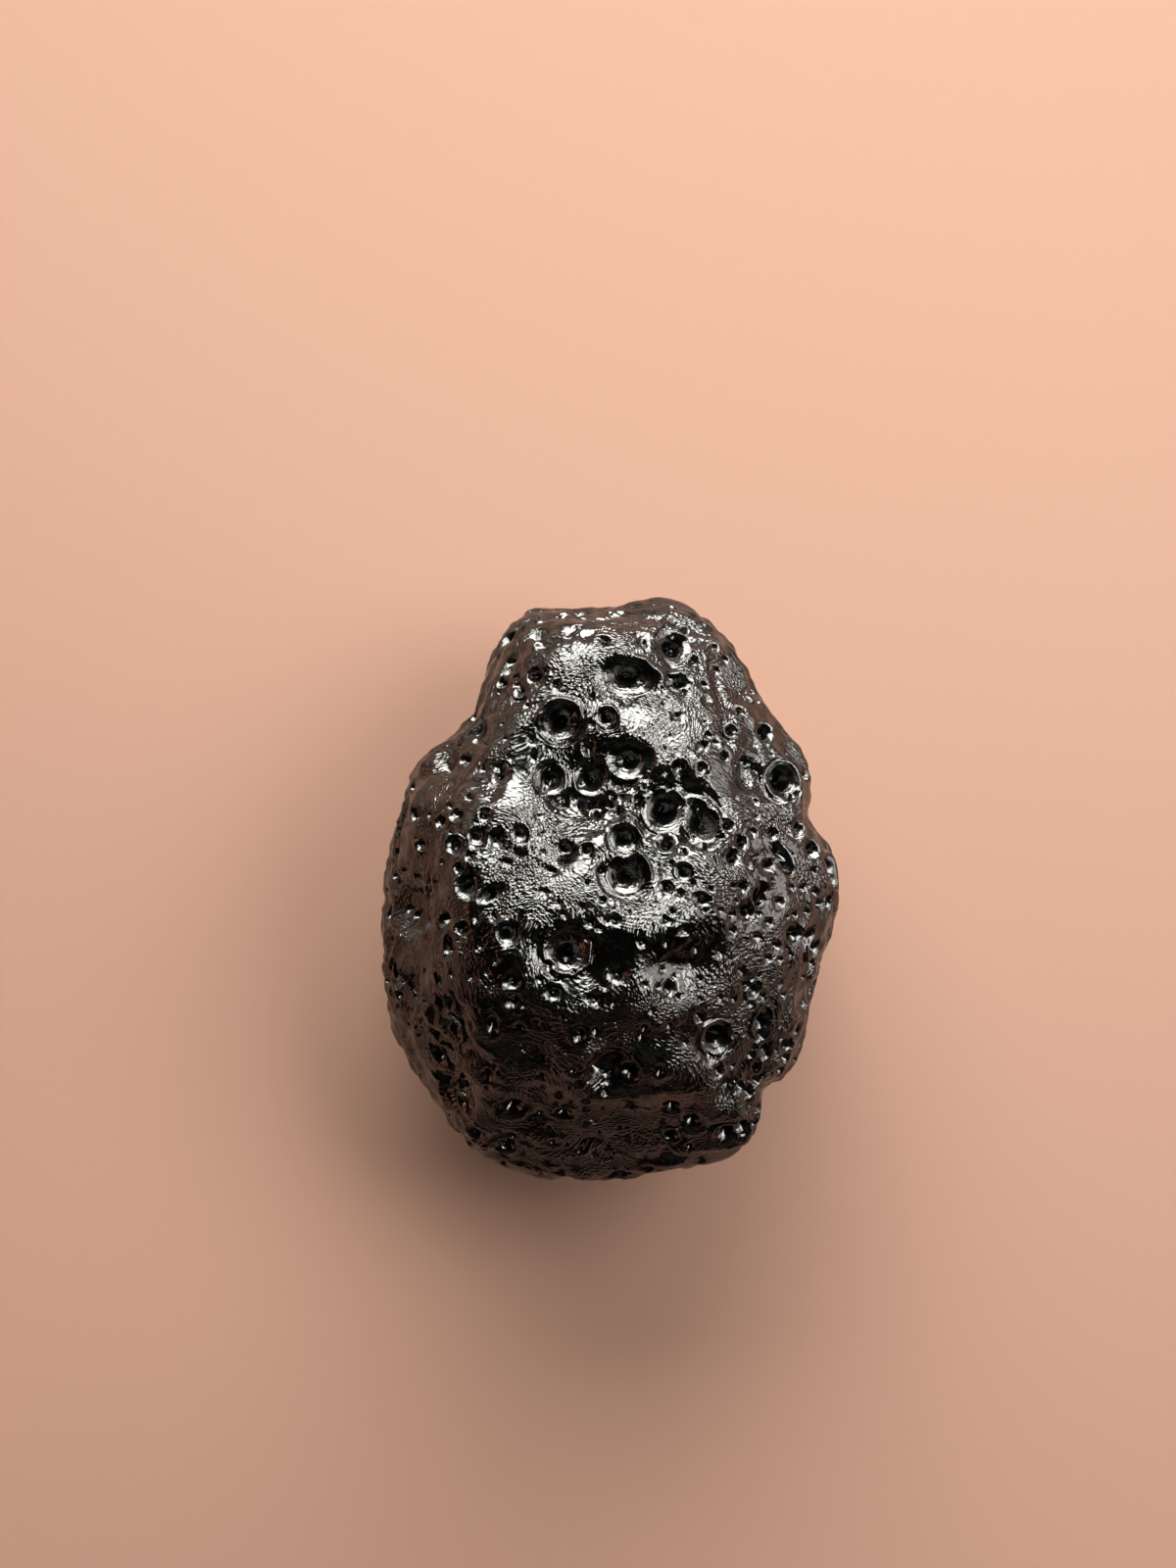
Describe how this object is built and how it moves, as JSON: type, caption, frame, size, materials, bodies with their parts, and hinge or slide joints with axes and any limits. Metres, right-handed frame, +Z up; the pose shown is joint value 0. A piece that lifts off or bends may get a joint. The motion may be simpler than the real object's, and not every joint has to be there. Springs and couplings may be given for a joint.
{
  "type": "tektite",
  "caption": "Small natural tektite, an egg-shaped lump of opaque black impact glass with blunt facets, a pitted glossy surface and one flat side to lie on.",
  "frame": {"origin": "centre of the bounding box at the level of the flat resting side", "axes": "+Y along the length towards the narrow crown, +Z up through the thickness, out of the pitted face, +X to the right of the face seen from above"},
  "size_m": [0.0148, 0.019, 0.0124],
  "materials": {
    "black_glass": "opaque natural black glass, glossy on the crests, finely etched and pitted between them"
  },
  "bodies": {
    "root": {"tektite": "black_glass"}
  },
  "joints": []
}
